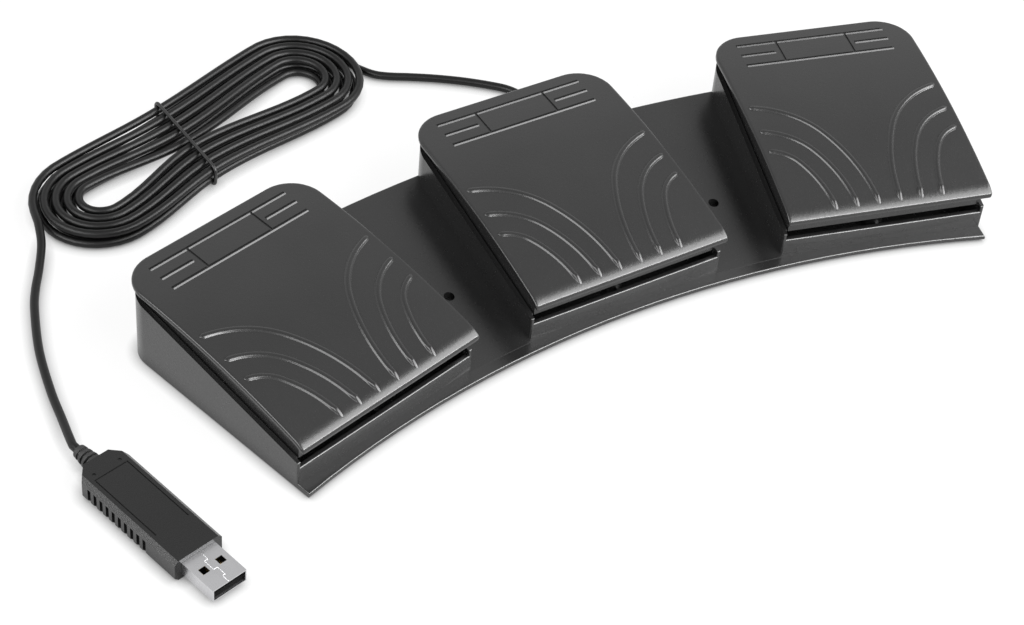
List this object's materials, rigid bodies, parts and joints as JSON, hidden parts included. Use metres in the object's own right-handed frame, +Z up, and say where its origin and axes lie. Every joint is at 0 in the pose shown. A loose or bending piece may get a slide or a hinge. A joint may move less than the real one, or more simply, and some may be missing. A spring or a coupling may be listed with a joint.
{
  "type": "usb_foot_pedal_switch",
  "caption": "Foot switch with hinged, ridged pedals side by side on a curved dark plastic base, with a tied cord and a USB plug",
  "frame": {"origin": "middle of the object's box, without its cord and plug, on the ground under the feet", "axes": "+X along the row of pedals, towards the viewer's right from the front; +Y to the rear; +Z up"},
  "size_m": [0.3293, 0.2166, 0.0291],
  "materials": {
    "cover_plastic": "satin moulded plastic",
    "base_plastic": "satin moulded plastic",
    "black_plastic": "matt moulded plastic",
    "plug_plastic": "matt moulded plastic",
    "pale_plastic": "matt moulded plastic",
    "red_plastic": "smooth moulded plastic",
    "cord_jacket": "smooth flexible jacket",
    "wire_jacket": "smooth flexible jacket",
    "foot_rubber": "matt rubber",
    "board": "coated board",
    "steel": "plain steel",
    "plug_metal": "bright plated sheet",
    "contact_metal": "gold plated"
  },
  "bodies": {
    "base": {"base_shell": "base_plastic", "bottom_plate": "base_plastic", "bottom_screws": "steel", "rubber_feet": "foot_rubber", "hinge_rod_left": "steel", "return_spring_left": "steel", "switch_body_left": "black_plastic", "switch_wires_left": "wire_jacket", "hinge_rod_centre": "steel", "return_spring_centre": "steel", "switch_body_centre": "black_plastic", "switch_wires_centre": "wire_jacket", "hinge_rod_right": "steel", "return_spring_right": "steel", "switch_body_right": "black_plastic", "switch_wires_right": "wire_jacket", "circuit_board": "board", "controller_chip": "black_plastic", "crystal": "steel", "wire_sockets": "pale_plastic", "cord_inner": "cord_jacket", "cord_grommet": "foot_rubber", "cord_lead": "cord_jacket", "cord_hank": "cord_jacket", "cord_tail": "cord_jacket", "cord_tie": "black_plastic", "plug_boot": "foot_rubber", "plug_housing": "plug_plastic", "plug_shell": "plug_metal", "plug_tongue": "pale_plastic", "plug_contacts": "contact_metal"},
    "pedal_left": {"pedal_cover_left": "cover_plastic"},
    "plunger_left": {"switch_plunger_left": "red_plastic"},
    "pedal_centre": {"pedal_cover_centre": "cover_plastic"},
    "plunger_centre": {"switch_plunger_centre": "red_plastic"},
    "pedal_right": {"pedal_cover_right": "cover_plastic"},
    "plunger_right": {"switch_plunger_right": "red_plastic"}
  },
  "joints": [
    {"name": "press_left", "type": "hinge", "parent": "base", "child": "pedal_left", "pos_m": [-0.10988, 0.02478, 0.0195], "axis": [0.9673, 0.2538, 0], "range_deg": [0, 3.5], "stiffness_Nm_per_rad": 3, "springref_deg": -3.44, "deforming": ["return_spring_left"]},
    {"name": "press_centre", "type": "hinge", "parent": "base", "child": "pedal_centre", "pos_m": [0, 0.03896, 0.0195], "axis": [1, 0, 0], "range_deg": [0, 3.5], "stiffness_Nm_per_rad": 3, "springref_deg": -3.44, "deforming": ["return_spring_centre"]},
    {"name": "press_right", "type": "hinge", "parent": "base", "child": "pedal_right", "pos_m": [0.10988, 0.02478, 0.0195], "axis": [0.9673, -0.2538, 0], "range_deg": [0, 3.5], "stiffness_Nm_per_rad": 3, "springref_deg": -3.44, "deforming": ["return_spring_right"]},
    {"name": "plunge_left", "type": "slide", "parent": "base", "child": "plunger_left", "axis": [0, 0, -1], "range_m": [0, 0.0011]},
    {"name": "plunge_centre", "type": "slide", "parent": "base", "child": "plunger_centre", "axis": [0, 0, -1], "range_m": [0, 0.0011]},
    {"name": "plunge_right", "type": "slide", "parent": "base", "child": "plunger_right", "axis": [0, 0, -1], "range_m": [0, 0.0011]}
  ],
  "couplings": [
    {"joint": "plunge_left", "follows": "press_left", "m_per_rad": 0.017},
    {"joint": "plunge_centre", "follows": "press_centre", "m_per_rad": 0.017},
    {"joint": "plunge_right", "follows": "press_right", "m_per_rad": 0.017}
  ]
}
